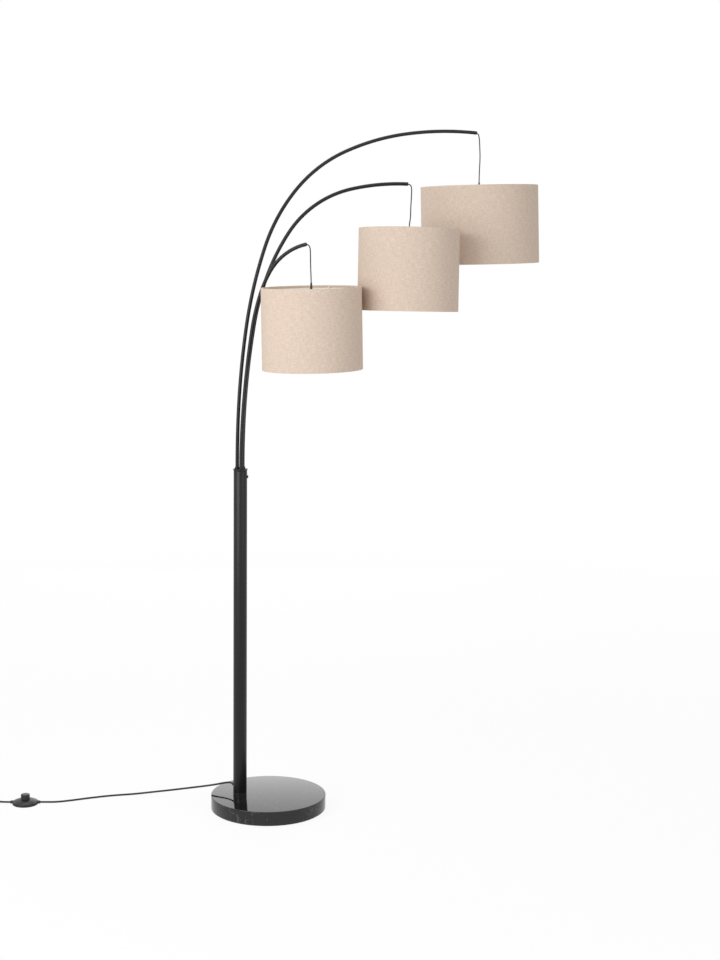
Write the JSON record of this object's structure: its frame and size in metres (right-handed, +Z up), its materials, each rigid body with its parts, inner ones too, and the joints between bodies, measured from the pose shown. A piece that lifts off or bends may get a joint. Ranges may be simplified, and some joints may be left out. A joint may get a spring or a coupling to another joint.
{
  "type": "tree floor lamp",
  "caption": "Floor lamp with a round stone base, an upright pole and arched arms, each with a drum shade hanging from it, and a foot switch on the mains cord.",
  "frame": {"origin": "centre of the round base's underside", "axes": "+X to the right along the middle arm, +Y to the back, +Z up"},
  "size_m": [1.5526, 0.6038, 1.7846],
  "materials": {
    "dark_marble": "polished dark grey marble",
    "felt": "pressed felt",
    "zinc_steel": "zinc plated steel",
    "black_metal": "satin black powder coat",
    "black_plastic": "moulded black plastic",
    "black_rubber": "soft black rubber",
    "black_cord": "black cord sheath",
    "white_metal": "white painted wire",
    "beige_fabric": "linen-look fabric on white lining",
    "frosted_glass": "frosted glass",
    "plated_pin": "nickel plated brass",
    "terminal_plastic": "white terminal plastic"
  },
  "bodies": {
    "base": {"marble_base": "dark_marble", "base_felt": "felt", "base_bolt": "zinc_steel", "base_washer": "zinc_steel", "pole_foot": "black_metal", "pole_tube": "black_metal", "cord_gland": "black_rubber", "inner_cord": "black_cord", "mains_cord": "black_cord", "tail_cord": "black_cord", "cord_coil": "black_cord", "plug_body": "black_plastic", "plug_pins": "plated_pin", "switch_base": "black_plastic", "switch_cover": "black_plastic", "switch_spring": "zinc_steel"},
    "head": {"arm_head": "black_metal", "terminal_block": "terminal_plastic", "middle_arm_tube": "black_metal", "middle_tip_grommet": "black_plastic"},
    "arm_high": {"high_arm_tube": "black_metal", "high_tip_grommet": "black_plastic"},
    "arm_low": {"low_arm_tube": "black_metal", "low_tip_grommet": "black_plastic"},
    "lock_screw_body": {"lock_screw": "black_metal"},
    "button": {"switch_button": "black_plastic"},
    "pendant_high": {"high_lamp_cord": "black_cord", "high_lampholder": "black_plastic", "high_spider": "white_metal", "high_shade_ring": "black_plastic", "high_shade": "beige_fabric", "high_bulb": "frosted_glass"},
    "pendant_middle": {"middle_lamp_cord": "black_cord", "middle_lampholder": "black_plastic", "middle_spider": "white_metal", "middle_shade_ring": "black_plastic", "middle_shade": "beige_fabric", "middle_bulb": "frosted_glass"},
    "pendant_low": {"low_lamp_cord": "black_cord", "low_lampholder": "black_plastic", "low_spider": "white_metal", "low_shade_ring": "black_plastic", "low_shade": "beige_fabric", "low_bulb": "frosted_glass"}
  },
  "joints": [
    {"name": "head_swivel", "type": "hinge", "parent": "base", "child": "head", "pos_m": [-0.0734, -0.0304, 0.87], "axis": [0, 0, 1], "range_deg": [-170, 170]},
    {"name": "arm_high_swivel", "type": "hinge", "parent": "head", "child": "arm_high", "pos_m": [-0.08161, -0.0282, 0.88], "axis": [0, 0, 1], "range_deg": [-2, 110]},
    {"name": "arm_low_swivel", "type": "hinge", "parent": "head", "child": "arm_low", "pos_m": [-0.0712, -0.03861, 0.88], "axis": [0, 0, 1], "range_deg": [-110, 1]},
    {"name": "pendant_high_swing", "type": "hinge", "parent": "arm_high", "child": "pendant_high", "pos_m": [0.55244, 0.20257, 1.77768], "axis": [-0.9374, -0.3412, 0.0698], "range_deg": [-15, 5]},
    {"name": "pendant_middle_swing", "type": "hinge", "parent": "head", "child": "pendant_middle", "pos_m": [0.35563, -0.01701, 1.63096], "axis": [-0.9989, -0.0174, 0.0436], "range_deg": [-5, 2]},
    {"name": "pendant_low_swing", "type": "hinge", "parent": "arm_low", "child": "pendant_low", "pos_m": [0.0947, -0.10564, 1.47525], "axis": [-0.9086, 0.3671, -0.1994], "range_deg": [-2.5, 15]},
    {"name": "lock_screw_turn", "type": "hinge", "parent": "base", "child": "lock_screw_body", "pos_m": [-0.0534, -0.0304, 0.8765], "axis": [1, 0, 0], "range_deg": [-360, 0]},
    {"name": "footswitch_press", "type": "slide", "parent": "base", "child": "button", "axis": [0, 0, -1], "range_m": [0, 0.0035], "stiffness_N_per_m": 2000, "springref_m": -0.001, "deforming": ["switch_spring"]}
  ]
}
